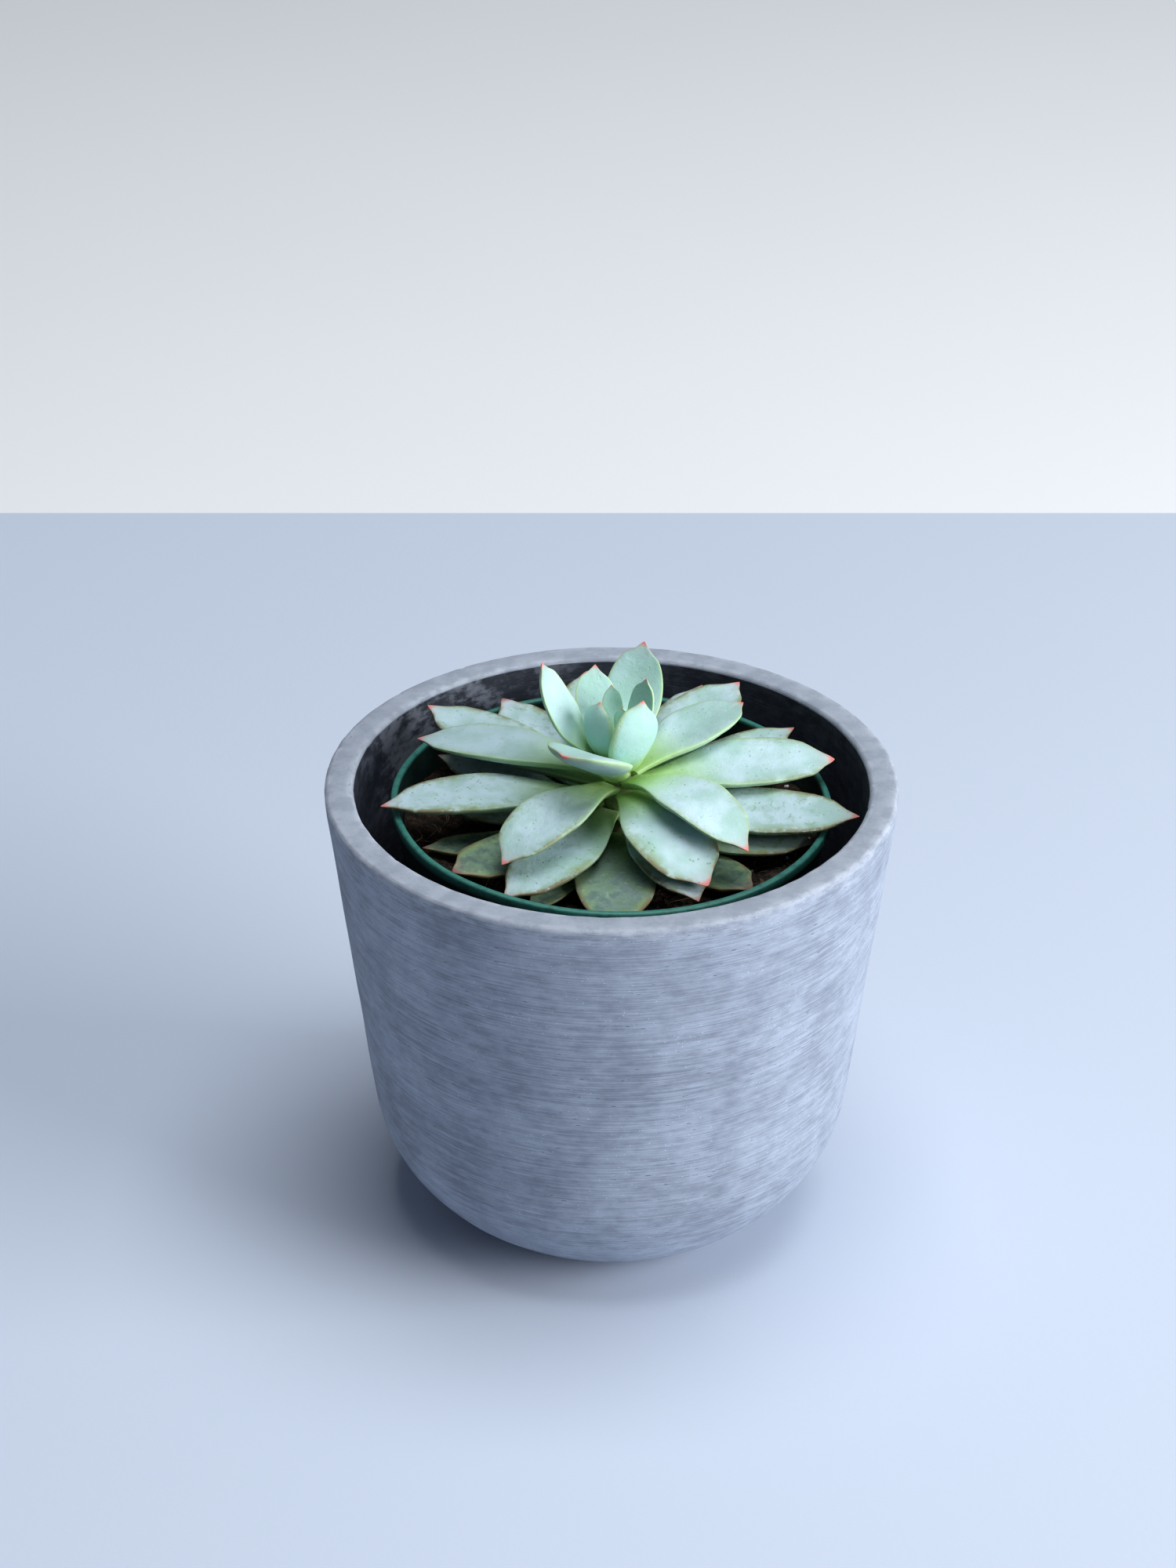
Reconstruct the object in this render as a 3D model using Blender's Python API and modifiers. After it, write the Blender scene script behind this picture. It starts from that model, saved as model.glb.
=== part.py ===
"""Potted succulent: a leafy rosette in a thin nursery pot that stands inside a thick-walled planter."""

import math
from typing import NamedTuple

import bmesh
import bpy
from mathutils import Matrix, Vector

MM = 0.001
CLEARANCE = 0.35

# Planter: a tapered wall that runs into one round arc, cut off flat underneath.
RIM_RADIUS = 71.0
RIM_HEIGHT = 121.0
WALL = 7.6
TAPER = 0.1134
ARC_RADIUS = 42.2
ARC_CENTRE = (19.3, 39.8)
RIM_ROUNDING = 1.2
PLANTER_STEPS = 96

# Nursery pot: hangs a little crooked inside the planter, its foot near the round bottom.
POT_RIM_RADIUS = 54.8
POT_RIM_HEIGHT = 115.8
POT_HEIGHT = 103.6
POT_FOOT_RADIUS = 38.0
POT_WALL = 1.2
POT_FLOOR = 1.6
POT_LIP = 0.5
POT_LIP_DEPTH = 3.0
POT_TILT = 1.2
POT_STEPS = 72

# Soil: its surface dips towards the stem. Heights are above the planter's base.
SOIL_SURFACE = [(0.0, 102.6), (14.0, 102.8), (26.0, 103.6), (38.0, 105.6), (46.0, 107.4)]
SOIL_EDGE_HEIGHT = 108.4

# Stem: stands a little to the right of the pots' axis.
STEM_X = 2.0
STEM_TOP = 124.0
STEM_FOOT = 84.0
STEM_PROFILE = [(2.7, 124.0), (3.4, 120.0), (4.2, 114.0), (4.4, 106.0), (4.2, 98.0), (3.2, 88.0), (1.5, 84.0)]
STEM_STEPS = 20

# Leaf build.
LEAF_STATIONS = 9
LEAF_SECTION_POINTS = 8
LEAF_FOOT_GAP = 0.5
LEAF_NECK = 0.3
LEAF_FULL_AT = 0.58
UPPER_SHARE = 0.18
LOWER_SHARE = 0.82


class Leaf(NamedTuple):
    """How one leaf grows, in millimetres and degrees."""

    azimuth: float  # way it points: 0 is +X, 90 the back, 270 the front
    foot: float  # height of its foot on the stem
    reach: float  # its tip's distance from the stem's axis
    tip: float  # height of its tip
    arch: float  # rise of its middle above the straight line
    sweep: float  # how far its middle bows sideways, anticlockwise from above
    width: float
    roll: float = 0.0  # turn about its own length
    point: float = 1.0  # 1 for a pointed end, less for a rounded one


# From the heart outwards.
LEAVES = [
    Leaf(80, 129.8, 2.8, 139.5, -0.2, 0, 4),
    Leaf(160, 129, 6, 139.5, -0.3, 0, 4.5),
    Leaf(103, 129, 8.8, 142.7, -2, 0, 5.5),
    Leaf(44, 128.4, 9, 145.5, -1, 0, 8),
    Leaf(218, 127.8, 6, 144.5, -2.2, 0, 11),
    Leaf(314, 126.8, 8, 146, -2.5, -3, 16),
    Leaf(108, 126.8, 19.5, 143, -2, 1.5, 11),
    Leaf(76, 124.4, 26, 146, -3, 1, 15),
    Leaf(184, 125.4, 19, 154, -2.5, 0, 10),
    Leaf(240, 124.6, 28, 141, -1, 1, 21),
    Leaf(40, 122.1, 41, 128, 1.5, 0, 16),
    Leaf(160, 122.5, 54, 122, 2.5, 0, 17),
    Leaf(314, 122, 44, 119, 5.5, 0, 17),
    Leaf(12, 119.3, 55, 120, 2, 0, 19, 8, 0.8),
    Leaf(232, 120.5, 46, 118, 4, 0, 17.5),
    Leaf(54, 116.8, 53, 125, 1, 1, 18),
    Leaf(145, 118.8, 59.5, 123, -1, 0, 18),
    Leaf(299, 118.7, 43, 113, 4.5, -2, 21, 0, 0.8),
    Leaf(98, 114.5, 57, 121, 0.5, 0, 18.5, 0, 0.8),
    Leaf(190, 116, 59.5, 119, 2.5, 0, 18),
    Leaf(347, 116, 60, 118, -1, 0, 18.5, 6),
    Leaf(36, 113.8, 55.5, 117.3, 0, 0, 15),
    Leaf(236, 114, 50, 112, 2, 3, 18),
    Leaf(67, 111.5, 56, 119.5, 0, 0, 15),
    Leaf(123, 111.5, 55, 118.4, -0.5, 0, 16, 0, 0.8),
    Leaf(295, 112.5, 44, 110, 3, 0, 18),
    Leaf(154, 109.1, 51, 115, 0.3, 0, 13, -6),
    Leaf(178, 107.3, 45, 111.7, 0, 0, 9),
    Leaf(342, 110.2, 50, 111.6, 0, 0, 17, 10),
    Leaf(268, 108, 49, 108.6, 1.6, 0, 20),
    Leaf(218, 109.9, 51, 113, -0.3, 0, 17, -4, 0.7),
    Leaf(315, 105.9, 44.5, 108.4, -0.3, 0, 15, 0, 0.6),
    Leaf(199, 105.2, 51, 111, -0.8, 0, 12),
    Leaf(243, 105.2, 48, 109, 0, 0, 9),
    Leaf(20, 107, 40, 109.5, 0, 0, 13),
    Leaf(56, 108.6, 43, 110.3, 0, 0, 12),
    Leaf(92, 106.3, 46, 110.5, 0, 0, 12),
    Leaf(132, 106.9, 46, 111, -0.3, 0, 12),
]


def clear_scene():
    for old in list(bpy.data.objects):
        bpy.data.objects.remove(old, do_unlink=True)


def collection(name, hidden=False):
    made = bpy.data.collections.new(name)
    made.hide_render = hidden
    bpy.context.scene.collection.children.link(made)
    return made


def material(name, colour, roughness):
    made = bpy.data.materials.new(name)
    made.use_nodes = True
    shader = made.node_tree.nodes["Principled BSDF"]
    shader.inputs["Base Color"].default_value = (*colour, 1.0)
    shader.inputs["Roughness"].default_value = roughness
    shader.inputs["Metallic"].default_value = 0.0
    return made


def add_object(name, mesh, where, look=None):
    made = bpy.data.objects.new(name, mesh)
    where.objects.link(made)
    if look:
        mesh.materials.append(look)
    return made


def smooth_faces(mesh, angle):
    for face in mesh.polygons:
        face.use_smooth = True
    mesh.set_sharp_from_angle(angle=math.radians(angle))


def arc(centre, radius, start, end, count):
    """Points on an arc in the profile plane, its angles in degrees from +X."""
    angles = [math.radians(start + (end - start) * i / (count - 1)) for i in range(count)]
    return [(centre[0] + radius * math.cos(a), centre[1] + radius * math.sin(a)) for a in angles]


def turned(name, profile, steps, where, look=None):
    """A solid turned about Z from an (r, z) profile in mm that runs over the top and down the outer side."""
    mesh = bpy.data.meshes.new(name)
    points = [(r * MM, 0.0, z * MM) for r, z in profile]
    mesh.from_pydata(points, [(i, i + 1) for i in range(len(points) - 1)], [])
    made = add_object(name, mesh, where, look)
    screw = made.modifiers.new("Turn", "SCREW")
    screw.axis = "Z"
    screw.steps = steps
    screw.render_steps = steps
    screw.use_merge_vertices = True
    screw.merge_threshold = 0.00001
    screw.use_normal_calculate = False
    return made


def applied(made):
    """Bakes an object's modifiers into its mesh."""
    graph = bpy.context.evaluated_depsgraph_get()
    baked = bpy.data.meshes.new_from_object(made.evaluated_get(graph))
    made.modifiers.clear()
    made.data = baked
    return baked


def face_out(mesh):
    shape = bmesh.new()
    shape.from_mesh(mesh)
    bmesh.ops.recalc_face_normals(shape, faces=shape.faces)
    shape.to_mesh(mesh)
    shape.free()


def planter_profile():
    slope = math.degrees(math.atan(TAPER))
    inner_radius = ARC_RADIUS - WALL
    base_angle = -math.degrees(math.asin(ARC_CENTRE[1] / ARC_RADIUS))
    inside = arc(ARC_CENTRE, inner_radius, -90, -slope, 12)
    outside = arc(ARC_CENTRE, ARC_RADIUS, -slope, base_angle, 13)
    inner_edge = (RIM_RADIUS - WALL + RIM_ROUNDING, RIM_HEIGHT - RIM_ROUNDING)
    outer_edge = (RIM_RADIUS - RIM_ROUNDING, RIM_HEIGHT - RIM_ROUNDING)
    rim = arc(inner_edge, RIM_ROUNDING, 180, 90, 4) + arc(outer_edge, RIM_ROUNDING, 90, 0, 4)
    floor_height = ARC_CENTRE[1] - inner_radius
    return [(0.0, floor_height), *inside, *rim, *outside, (0.0, 0.0)]


def pot_radius(height):
    """Outer radius of the nursery pot at a height above the planter's base."""
    down = (POT_RIM_HEIGHT - height) / POT_HEIGHT
    return POT_RIM_RADIUS - POT_LIP + (POT_FOOT_RADIUS - POT_RIM_RADIUS + POT_LIP) * down


def pot_profile():
    foot = POT_RIM_HEIGHT - POT_HEIGHT
    floor = foot + POT_FLOOR
    lip_base = POT_RIM_HEIGHT - POT_LIP_DEPTH
    return [
        (0.0, floor),
        (pot_radius(floor) - POT_WALL - 1.5, floor),
        (pot_radius(floor + 1.5) - POT_WALL, floor + 1.5),
        (pot_radius(lip_base) - POT_WALL, lip_base),
        (POT_RIM_RADIUS - POT_LIP - POT_WALL, POT_RIM_HEIGHT - 0.4),
        (POT_RIM_RADIUS - POT_LIP - POT_WALL + 0.4, POT_RIM_HEIGHT),
        (POT_RIM_RADIUS - 0.4, POT_RIM_HEIGHT),
        (POT_RIM_RADIUS, POT_RIM_HEIGHT - 0.4),
        (POT_RIM_RADIUS, lip_base + POT_LIP),
        (pot_radius(lip_base), lip_base),
        (pot_radius(foot + 2.0), foot + 2.0),
        (pot_radius(foot + 2.0) - 2.0, foot),
        (0.0, foot),
    ]


def soil_profile():
    floor = POT_RIM_HEIGHT - POT_HEIGHT + POT_FLOOR + CLEARANCE
    side = POT_WALL + CLEARANCE
    return [
        *SOIL_SURFACE,
        (pot_radius(SOIL_EDGE_HEIGHT) - side, SOIL_EDGE_HEIGHT),
        (pot_radius(floor + 2.0) - side, floor + 2.0),
        (pot_radius(floor) - side - 2.0, floor),
        (0.0, floor),
    ]


def tilt_pot(made):
    """Turns a finished mesh about Y through the nursery pot's rim centre, left side up."""
    pivot = Matrix.Translation((0.0, 0.0, POT_RIM_HEIGHT * MM))
    turn = Matrix.Rotation(math.radians(POT_TILT), 4, "Y")
    made.data.transform(pivot @ turn @ pivot.inverted())


def ease(x):
    x = min(max(x, 0.0), 1.0)
    return x * x * (3.0 - 2.0 * x)


def blade_share(leaf, t):
    """Share of the leaf's full width at t, from 0 at its foot to 1 at its tip."""
    rise = LEAF_NECK + (1.0 - LEAF_NECK) * ease(t / LEAF_FULL_AT)
    return rise * (1.0 - t**7) ** leaf.point


def stem_radius(height):
    """Radius of the stem at a height above the planter's base; its top carries on straight up."""
    if height >= STEM_TOP:
        return STEM_PROFILE[0][0]
    for (r_high, high), (r_low, low) in zip(STEM_PROFILE, STEM_PROFILE[1:]):
        if low <= height <= high:
            return r_low + (r_high - r_low) * (height - low) / (high - low)
    return STEM_PROFILE[-1][0]


def spine_point(leaf, t):
    azimuth = math.radians(leaf.azimuth)
    out = Vector((math.cos(azimuth), math.sin(azimuth), 0.0))
    side = Vector((-math.sin(azimuth), math.cos(azimuth), 0.0))
    foot = Vector((STEM_X, 0.0, leaf.foot)) + out * (stem_radius(leaf.foot) + LEAF_FOOT_GAP)
    tip = Vector((STEM_X, 0.0, leaf.tip)) + out * leaf.reach
    chord = tip - foot
    up = chord.normalized().cross(side)
    bow = 4.0 * t * (1.0 - t)
    return foot + chord * t + up * (leaf.arch * bow) + side * (leaf.sweep * bow)


def spine_frame(leaf, t):
    """Centre, sideways and upward directions of the leaf at t."""
    step = 0.001
    along = spine_point(leaf, min(t + step, 1.0)) - spine_point(leaf, max(t - step, 0.0))
    along.normalize()
    azimuth = math.radians(leaf.azimuth)
    side = Vector((-math.sin(azimuth), math.cos(azimuth), 0.0))
    side = (side - along * side.dot(along)).normalized()
    turn = Matrix.Rotation(math.radians(leaf.roll) * ease(t / 0.5), 3, along)
    side = turn @ side
    return spine_point(leaf, t), side, along.cross(side)


def leaf_mesh(name, leaf):
    """A leaf lofted through lens-shaped sections, keeled below and hollowed a little above."""
    thickness = 1.4 + 0.16 * leaf.width
    cup = 0.2 - 0.007 * leaf.width
    widest = max(blade_share(leaf, i / 60) for i in range(60))
    shape = bmesh.new()
    rings = []
    for station in range(LEAF_STATIONS - 1):
        t = 1.0 - (1.0 - station / (LEAF_STATIONS - 1)) ** 1.25
        centre, side, up = spine_frame(leaf, t)
        half = leaf.width / 2 * blade_share(leaf, t) / widest
        depth = thickness * (0.72 + 0.28 * ease(t / 0.45)) * (1.0 - t**5) ** 0.8
        ring = []
        for k in range(LEAF_SECTION_POINTS):
            angle = 2 * math.pi * k / LEAF_SECTION_POINTS
            across = math.cos(angle)
            rise = math.sin(angle) * depth * (UPPER_SHARE if k < LEAF_SECTION_POINTS / 2 else LOWER_SHARE)
            rise += cup * half * across * across
            ring.append(shape.verts.new((centre + side * (half * across) + up * rise) * MM))
        rings.append(ring)
    for ring, following in zip(rings, rings[1:]):
        for k in range(LEAF_SECTION_POINTS):
            after = (k + 1) % LEAF_SECTION_POINTS
            shape.faces.new((ring[k], ring[after], following[after], following[k]))
    shape.faces.new(list(reversed(rings[0])))
    tip = shape.verts.new(spine_point(leaf, 1.0) * MM)
    for k in range(LEAF_SECTION_POINTS):
        shape.faces.new((rings[-1][k], rings[-1][(k + 1) % LEAF_SECTION_POINTS], tip))
    bmesh.ops.recalc_face_normals(shape, faces=shape.faces)
    mesh = bpy.data.meshes.new(name)
    shape.to_mesh(mesh)
    shape.free()
    smooth_faces(mesh, 50)
    return mesh


def build_planter(where):
    look = material("planter_stone", (0.235, 0.25, 0.33), 0.75)
    made = turned("planter", planter_profile(), PLANTER_STEPS, where, look)
    mesh = applied(made)
    face_out(mesh)
    smooth_faces(mesh, 30)


def build_nursery_pot(where):
    look = material("pot_plastic", (0.01, 0.075, 0.06), 0.4)
    made = turned("nursery_pot", pot_profile(), POT_STEPS, where, look)
    mesh = applied(made)
    face_out(mesh)
    tilt_pot(made)
    smooth_faces(mesh, 30)


def build_stem(where):
    look = material("stem_skin", (0.33, 0.4, 0.15), 0.6)
    made = turned("stem", [(0.0, STEM_TOP), *STEM_PROFILE, (0.0, STEM_FOOT)], STEM_STEPS, where, look)
    mesh = applied(made)
    face_out(mesh)
    mesh.transform(Matrix.Translation((STEM_X * MM, 0.0, 0.0)))
    smooth_faces(mesh, 50)


def build_soil(where, cutters):
    look = material("soil_peat", (0.035, 0.022, 0.015), 0.95)
    made = turned("soil", soil_profile(), POT_STEPS, where, look)
    mesh = applied(made)
    face_out(mesh)
    tilt_pot(made)
    swollen = [(r + CLEARANCE, z) for r, z in STEM_PROFILE]
    hole_foot = STEM_FOOT - CLEARANCE
    hole = [(0.0, STEM_TOP), *swollen, (swollen[-1][0], hole_foot), (0.0, hole_foot)]
    cutter = turned("stem_hole", hole, STEM_STEPS, cutters)
    cut_mesh = applied(cutter)
    face_out(cut_mesh)
    cut_mesh.transform(Matrix.Translation((STEM_X * MM, 0.0, 0.0)))
    cutter.display_type = "WIRE"
    cutter.hide_render = True
    cut = made.modifiers.new("Stem hole", "BOOLEAN")
    cut.operation = "DIFFERENCE"
    cut.solver = "EXACT"
    cut.object = cutter


def build_leaves(where):
    look = material("leaf_skin", (0.45, 0.62, 0.56), 0.5)
    for number, leaf in enumerate(LEAVES, start=1):
        name = f"leaf_{number:02d}"
        add_object(name, leaf_mesh(name, leaf), where, look)


clear_scene()
succulent = collection("potted_succulent")
cutters = collection("cutters", hidden=True)
build_planter(succulent)
build_nursery_pot(succulent)
build_soil(succulent, cutters)
build_stem(succulent)
build_leaves(succulent)
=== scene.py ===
"""Potted succulent: a powdery blue-green rosette in a thin nursery pot inside a thick stone planter."""

import math
import random
from typing import NamedTuple

import bmesh
import bpy
from mathutils import Matrix, Vector, noise


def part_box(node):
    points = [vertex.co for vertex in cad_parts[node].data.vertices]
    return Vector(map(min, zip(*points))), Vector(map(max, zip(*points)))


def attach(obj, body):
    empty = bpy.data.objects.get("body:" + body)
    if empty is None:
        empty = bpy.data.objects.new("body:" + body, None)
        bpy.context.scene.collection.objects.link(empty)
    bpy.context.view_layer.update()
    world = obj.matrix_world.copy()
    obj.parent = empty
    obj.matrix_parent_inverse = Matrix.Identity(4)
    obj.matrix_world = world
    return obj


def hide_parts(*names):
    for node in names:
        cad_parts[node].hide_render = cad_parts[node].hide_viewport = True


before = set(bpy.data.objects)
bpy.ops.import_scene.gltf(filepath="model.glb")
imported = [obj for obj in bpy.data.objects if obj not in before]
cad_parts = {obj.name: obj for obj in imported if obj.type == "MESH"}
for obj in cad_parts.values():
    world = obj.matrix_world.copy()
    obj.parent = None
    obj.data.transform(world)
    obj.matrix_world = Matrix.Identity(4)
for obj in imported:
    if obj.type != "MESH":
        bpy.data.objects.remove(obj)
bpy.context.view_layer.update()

MM = 0.001
BODY = "root"


def node_top(node):
    """Height of a node's highest point, in millimetres."""
    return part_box(node)[1][2] / MM


def node_reach(node):
    """A round node's largest distance from the upright axis, in millimetres."""
    low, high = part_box(node)
    return (high[0] - low[0]) / 2 / MM


# Planter: a tapered wall that runs into one round arc, cut off flat underneath.
RIM_RADIUS = node_reach("planter")
RIM_HEIGHT = node_top("planter")
WALL = 7.6
TAPER = 0.1134
ARC_RADIUS = 42.2
ARC_CENTRE = (19.3, 39.8)
RIM_ROUNDING = 1.2
PLANTER_STEPS = 288
HOLLOW_POINTS = 22
BELLY_POINTS = 30
EDGE_POINTS = 7
INNER_WALL_POINTS = 18
OUTER_WALL_POINTS = 24
FLAT_POINTS = 3
PALE_INNER_STEPS = 4  # steps of the rim's inner edge that take its paler tone
GREY_OUTER_STEPS = 2  # steps of the rim's outer edge that keep the wall's tone
SANDED_DEPTH = 0.18
CHIP_DEPTH = 0.35
CHIP_FROM = 0.34
EDGE_WEAR = 0.10
FLAT_BELOW = 1.0

# Nursery pot: sits a little crooked inside the planter.
POT_RIM_RADIUS = 54.8
POT_RIM_HEIGHT = 115.8
POT_HEIGHT = 103.6
POT_FOOT_RADIUS = 38.0
POT_WALL = 1.2
POT_FLOOR = 1.6
POT_LIP = 0.5
POT_LIP_DEPTH = 3.0
POT_TILT = 1.2
POT_CORNER = 1.5
POT_HEEL = 2.0
POT_ROUNDING = 0.6
POT_SHOULDER = 1.1
POT_STEPS = 216
POT_ARC_POINTS = 6
POT_EDGE_POINTS = 5
POT_INNER_POINTS = 12
POT_OUTER_POINTS = 14

# The nursery pot's thin rim: how far it is out of round and out of level, and where that starts.
BUCKLE_DEPTH = 0.3
BUCKLE_LIFT = 0.28
BUCKLE_FROM = 80.0
BUCKLE_OVER = 30.0
BUCKLE_RADIUS = 50.0
BUCKLE_ROOM = 0.35

# Soil: its surface dips towards the stem.
SOIL_SURFACE = [(0.0, 102.6), (14.0, 102.8), (26.0, 103.6), (38.0, 105.6), (46.0, 107.4), (53.2, 108.4)]
SOIL_EDGE_HEIGHT = SOIL_SURFACE[-1][1]
SOIL_GAP = 0.35
SOIL_SINK = 0.35
SOIL_HEAP_ROOM = 0.3
SOIL_HEEL = 2.0
SOIL_STEPS = 264
SOIL_RINGS = 84
SOIL_SIDE_POINTS = 10

# Stem: stands a little to the right of the pots' axis.
STEM_X = 2.0
STEM_PROFILE = [
    (2.7, 124.0),
    (3.4, 120.0),
    (4.2, 114.0),
    (4.4, 106.0),
    (4.2, 98.0),
    (3.2, 88.0),
    (1.5, 84.0),
]
STEM_TOP = STEM_PROFILE[0][1]
STEM_STEPS = 48
STEM_RUN_POINTS = 7
SCAR_FADE = 1.5

# Leaf build.
LEAF_STATIONS = 46
LEAF_SECTION_POINTS = 32
LEAF_FOOT_GAP = 0.5
LEAF_FULL_AT = 0.58
UPPER_SHARE = 0.18
LOWER_SHARE = 0.82


class Leaf(NamedTuple):
    """How one leaf grows, in millimetres and degrees."""

    azimuth: float  # way it points: 0 is +X, 90 the back, 270 the front
    foot: float  # height of its foot on the stem
    reach: float  # its tip's distance from the stem's axis
    tip: float  # height of its tip
    arch: float  # rise of its middle above the straight line
    sweep: float  # how far its middle bows sideways, anticlockwise from above
    width: float
    roll: float = 0.0  # turn about its own length
    point: float = 1.0  # 1 for a pointed end, less for a rounded one
    neck: float = 0.34  # share of the full width at the foot


# From the heart outwards.
LEAVES = [
    Leaf(80, 129.8, 2.8, 139.5, -0.2, 0, 4, neck=0.5),
    Leaf(160, 129, 6, 139.5, -0.3, 0, 4.5, neck=0.5),
    Leaf(103, 129, 8.8, 142.7, -2, 0, 5.5, neck=0.5),
    Leaf(44, 128.4, 9, 145.5, -1, 0, 8, neck=0.55),
    Leaf(218, 127.8, 6, 144.5, -2.2, 0, 11, neck=0.6),
    Leaf(314, 126.8, 8, 146, -2.5, -3, 16, neck=0.6),
    Leaf(108, 126.8, 19.5, 143, -2, 1.5, 11, neck=0.5),
    Leaf(76, 124.4, 26, 146, -3, 1, 15, neck=0.5),
    Leaf(184, 125.4, 19, 154, -2.5, 0, 11, -30, neck=0.5),
    Leaf(240, 124.6, 28, 141, 2, 1, 21, neck=0.4),
    Leaf(40, 122.1, 41, 128, 1.5, 0, 16),
    Leaf(160, 122.5, 54, 122, 2.5, 0, 17),
    Leaf(314, 122, 44, 119, 5.5, 0, 17),
    Leaf(12, 119.3, 55, 120, 2, 0, 19, 8, 0.8),
    Leaf(232, 120.5, 46, 118, 4, 0, 17.5),
    Leaf(54, 116.8, 53, 125, 1, 1, 18),
    Leaf(145, 118.8, 59.5, 123, -1, 0, 18),
    Leaf(299, 118.7, 43, 113, 4.5, -2, 21, 0, 0.8),
    Leaf(98, 114.5, 57, 121, 0.5, 0, 18.5, 0, 0.8),
    Leaf(190, 116, 59.5, 119, 2.5, 0, 18),
    Leaf(347, 116, 60, 118, -1, 0, 18.5, 6),
    Leaf(36, 113.8, 55.5, 117.3, 0, 0, 15),
    Leaf(236, 114, 50, 112, 2, 3, 18),
    Leaf(67, 111.5, 56, 119.5, 0, 0, 15),
    Leaf(123, 111.5, 55, 118.4, -0.5, 0, 16, 0, 0.8),
    Leaf(295, 112.5, 44, 110, 3, 0, 18),
    Leaf(154, 109.1, 51, 115, 0.3, 0, 13, -6),
    Leaf(178, 107.3, 45, 111.7, 0, 0, 9),
    Leaf(342, 110.2, 50, 111.6, 0, 0, 17, 10),
    Leaf(268, 108, 49, 108.6, 1.6, 0, 20, neck=0.26),
    Leaf(218, 109.9, 51, 113, -0.3, 0, 17, -4, 0.7),
    Leaf(315, 105.9, 44.5, 108.4, -0.3, 0, 15, 0, 0.6),
    Leaf(199, 105.2, 51, 111, -0.8, 0, 12),
    Leaf(243, 105.2, 48, 109, 0, 0, 9),
    Leaf(20, 107, 40, 109.5, 0, 0, 13),
    Leaf(56, 108.6, 43, 110.3, 0, 0, 12),
    Leaf(92, 106.3, 46, 110.5, 0, 0, 12),
    Leaf(132, 106.9, 46, 111, -0.3, 0, 12),
]


# ---------------------------------------------------------------- finishes


class Signal:
    """A value running through a node tree, which can be reckoned with like any number."""

    def __init__(self, wiring, socket):
        self.wiring = wiring
        self.socket = socket

    def reckon(self, operation, *others):
        values = dict(enumerate((self, *others)))
        return self.wiring.node("ShaderNodeMath", {"operation": operation}, values)

    def reckon_from(self, operation, first):
        return self.wiring.node("ShaderNodeMath", {"operation": operation}, {0: first, 1: self})

    def __add__(self, other):
        return self.reckon("ADD", other)

    def __radd__(self, other):
        return self.reckon("ADD", other)

    def __sub__(self, other):
        return self.reckon("SUBTRACT", other)

    def __rsub__(self, other):
        return self.reckon_from("SUBTRACT", other)

    def __mul__(self, other):
        return self.reckon("MULTIPLY", other)

    def __rmul__(self, other):
        return self.reckon("MULTIPLY", other)

    def most(self, other):
        """The larger of the two."""
        return self.reckon("MAXIMUM", other)

    def rise(self, low, high):
        """0 up to low and 1 from high on, smoothly between; low above high runs the other way."""
        values = {"Value": self, "From Min": low, "From Max": high}
        return self.wiring.node("ShaderNodeMapRange", {"interpolation_type": "SMOOTHSTEP"}, values)


class Wiring:
    """A node tree whose nodes are made and linked in one call each."""

    def __init__(self, tree):
        self.tree = tree

    def node(self, kind, settings=None, inputs=None, output=0):
        made = self.tree.nodes.new(kind)
        for key, value in (settings or {}).items():
            setattr(made, key, value)
        for key, value in (inputs or {}).items():
            if isinstance(value, Signal):
                self.tree.links.new(value.socket, made.inputs[key])
            else:
                made.inputs[key].default_value = value
        return Signal(self, made.outputs[output]) if len(made.outputs) else made


class Finish(Wiring):
    """A material on one Principled shader."""

    def __init__(self, name):
        self.material = bpy.data.materials.new(name)
        self.material.use_nodes = True
        super().__init__(self.material.node_tree)
        self.tree.nodes.clear()

    def place(self):
        """Where a point lies on the object, in millimetres."""
        spot = self.node("ShaderNodeTexCoord", output="Object")
        return self.node("ShaderNodeVectorMath", {"operation": "SCALE"}, {0: spot, "Scale": 1 / MM})

    def stretched(self, place, x, y, z):
        return self.node("ShaderNodeVectorMath", {"operation": "MULTIPLY"}, {0: place, 1: (x, y, z)})

    def part(self, place, axis):
        return self.node("ShaderNodeSeparateXYZ", inputs={0: place}, output="XYZ".index(axis))

    def attribute(self, name):
        return self.node("ShaderNodeAttribute", {"attribute_name": name}, output="Fac")

    def cloud(self, place, scale, detail=3.0, roughness=0.5):
        values = {"Vector": place, "Scale": scale, "Detail": detail, "Roughness": roughness}
        return self.node("ShaderNodeTexNoise", inputs=values)

    def cells(self, place, scale):
        """Distance from the middle of the nearest of scattered cells."""
        values = {"Vector": place, "Scale": scale}
        return self.node("ShaderNodeTexVoronoi", inputs=values, output="Distance")

    def blend(self, first, second, share):
        """Mixes two colours: a Mix node takes them at inputs 6 and 7, and gives the result at output 2."""
        values = {0: share, 6: first, 7: second}
        return self.node("ShaderNodeMix", {"data_type": "RGBA"}, values, 2)

    def bump(self, height, depth, below=None):
        """Relief of that depth in millimetres, on top of the relief below it."""
        values = {"Height": height, "Distance": depth * MM, "Strength": 1.0}
        if below:
            values["Normal"] = below
        return self.node("ShaderNodeBump", inputs=values)

    def surface(self, colour, roughness, relief=None, **steady):
        values = {"Base Color": colour, "Roughness": roughness}
        if relief:
            values["Normal"] = relief
        values.update({name.replace("_", " "): value for name, value in steady.items()})
        shader = self.node("ShaderNodeBsdfPrincipled", inputs=values)
        self.node("ShaderNodeOutputMaterial", inputs={"Surface": shader})
        return self.material


def rgb(red, green, blue):
    return (red, green, blue, 1.0)


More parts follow.
